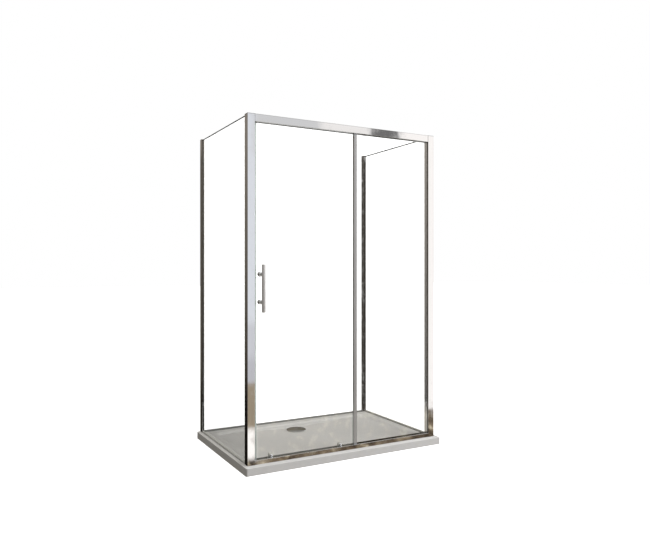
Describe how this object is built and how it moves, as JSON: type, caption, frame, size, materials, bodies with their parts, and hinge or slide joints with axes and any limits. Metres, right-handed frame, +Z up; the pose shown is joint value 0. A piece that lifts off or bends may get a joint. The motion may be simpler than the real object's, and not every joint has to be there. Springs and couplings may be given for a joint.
{
  "type": "shower enclosure",
  "caption": "Three-sided glass shower enclosure on a low rectangular tray: sliding door and fixed panel in front, fixed side panels, open towards the wall.",
  "frame": {"origin": "middle of the tray's underside", "axes": "+X to the right along the front, -Y out of the front, +Y towards the wall, +Z up"},
  "size_m": [1.2, 0.8, 1.79],
  "materials": {
    "acrylic_tray": "gloss white acrylic over a stone-resin core",
    "polished_aluminium": "bright polished and anodised",
    "toughened_glass": "clear toughened, polished edges",
    "chrome": "bright chrome plate",
    "steel": "plain stainless steel",
    "clear_pvc": "translucent soft PVC",
    "grey_pvc": "grey soft PVC",
    "black_rubber": "moulded rubber",
    "grey_plastic": "moulded, fine matt texture",
    "black_plastic": "moulded, fine matt texture",
    "white_nylon": "moulded nylon",
    "waste_plastic": "moulded polypropylene"
  },
  "bodies": {
    "frame": {"shower_tray": "acrylic_tray", "tray_wall_seal": "grey_pvc", "waste_flange": "waste_plastic", "waste_gasket": "black_rubber", "waste_locknut": "waste_plastic", "post_left": "polished_aluminium", "post_right": "polished_aluminium", "post_caps": "grey_plastic", "header_rail": "polished_aluminium", "bottom_rail": "polished_aluminium", "header_infill": "polished_aluminium", "rail_infill": "polished_aluminium", "header_brackets": "grey_plastic", "rail_brackets": "grey_plastic", "frame_screws": "steel", "track_stops": "black_rubber", "wall_channel_left": "polished_aluminium", "wall_channel_right": "polished_aluminium", "side_profile_left": "polished_aluminium", "side_profile_right": "polished_aluminium", "adjust_screws": "steel", "adjust_caps": "chrome", "side_glass_left": "toughened_glass", "side_glass_right": "toughened_glass", "side_sills": "grey_pvc", "side_gaskets": "grey_pvc", "fixed_glass": "toughened_glass", "fixed_edge_profile": "polished_aluminium", "edge_profile_feet": "grey_plastic", "fixed_gaskets": "grey_pvc", "setting_blocks": "black_rubber", "edge_fin_seal": "clear_pvc", "post_magnet_strip": "grey_pvc"},
    "door": {"door_glass": "toughened_glass", "door_magnet_seal": "clear_pvc", "door_trailing_seal": "clear_pvc", "door_drip_seal": "clear_pvc", "handle_bar": "chrome", "handle_end_caps": "chrome", "handle_standoffs": "chrome", "handle_washers": "clear_pvc", "handle_inner_caps": "chrome", "handle_bolts": "steel", "hanger_bolts": "chrome", "hanger_axles": "steel", "glass_washers": "white_nylon", "roller_caps": "chrome", "roller_body_left": "black_plastic", "roller_body_right": "black_plastic", "release_springs_left": "steel", "release_springs_right": "steel"},
    "top_wheel_left": {"top_wheel_left": "white_nylon", "top_bearing_left": "steel"},
    "top_wheel_right": {"top_wheel_right": "white_nylon", "top_bearing_right": "steel"},
    "release_left": {"release_carriage_left": "black_plastic"},
    "release_right": {"release_carriage_right": "black_plastic"},
    "bottom_wheel_left": {"bottom_wheel_left": "white_nylon"},
    "bottom_wheel_right": {"bottom_wheel_right": "white_nylon"},
    "waste_cover": {"waste_cover": "chrome"}
  },
  "joints": [
    {"name": "door_slide", "type": "slide", "parent": "frame", "child": "door", "axis": [1, 0, 0], "range_m": [0, 0.47]},
    {"name": "top_wheel_left_spin", "type": "hinge", "parent": "door", "child": "top_wheel_left", "pos_m": [-0.4443, -0.3318, 1.76555], "axis": [0, 1, 0], "range_deg": [-5, 2840]},
    {"name": "top_wheel_right_spin", "type": "hinge", "parent": "door", "child": "top_wheel_right", "pos_m": [-0.038, -0.3318, 1.76555], "axis": [0, 1, 0], "range_deg": [-5, 2840]},
    {"name": "release_left", "type": "slide", "parent": "door", "child": "release_left", "axis": [0, 0, -1], "range_m": [0, 0.0025], "stiffness_N_per_m": 600, "springref_m": -0.004, "deforming": ["release_springs_left"]},
    {"name": "release_right", "type": "slide", "parent": "door", "child": "release_right", "axis": [0, 0, -1], "range_m": [0, 0.0025], "stiffness_N_per_m": 600, "springref_m": -0.004, "deforming": ["release_springs_right"]},
    {"name": "bottom_wheel_left_spin", "type": "hinge", "parent": "release_left", "child": "bottom_wheel_left", "pos_m": [-0.4443, -0.3304, 0.05225], "axis": [0, 1, 0], "range_deg": [-4148, 5]},
    {"name": "bottom_wheel_right_spin", "type": "hinge", "parent": "release_right", "child": "bottom_wheel_right", "pos_m": [-0.038, -0.3304, 0.05225], "axis": [0, 1, 0], "range_deg": [-4148, 5]},
    {"name": "waste_cover_lift", "type": "slide", "parent": "frame", "child": "waste_cover", "axis": [0, 0, 1], "range_m": [0, 0.06]}
  ],
  "couplings": [
    {"joint": "top_wheel_left_spin", "follows": "door_slide", "rad_per_m": 105.26},
    {"joint": "top_wheel_right_spin", "follows": "door_slide", "rad_per_m": 105.26},
    {"joint": "bottom_wheel_left_spin", "follows": "door_slide", "rad_per_m": -153.85},
    {"joint": "bottom_wheel_right_spin", "follows": "door_slide", "rad_per_m": -153.85}
  ]
}
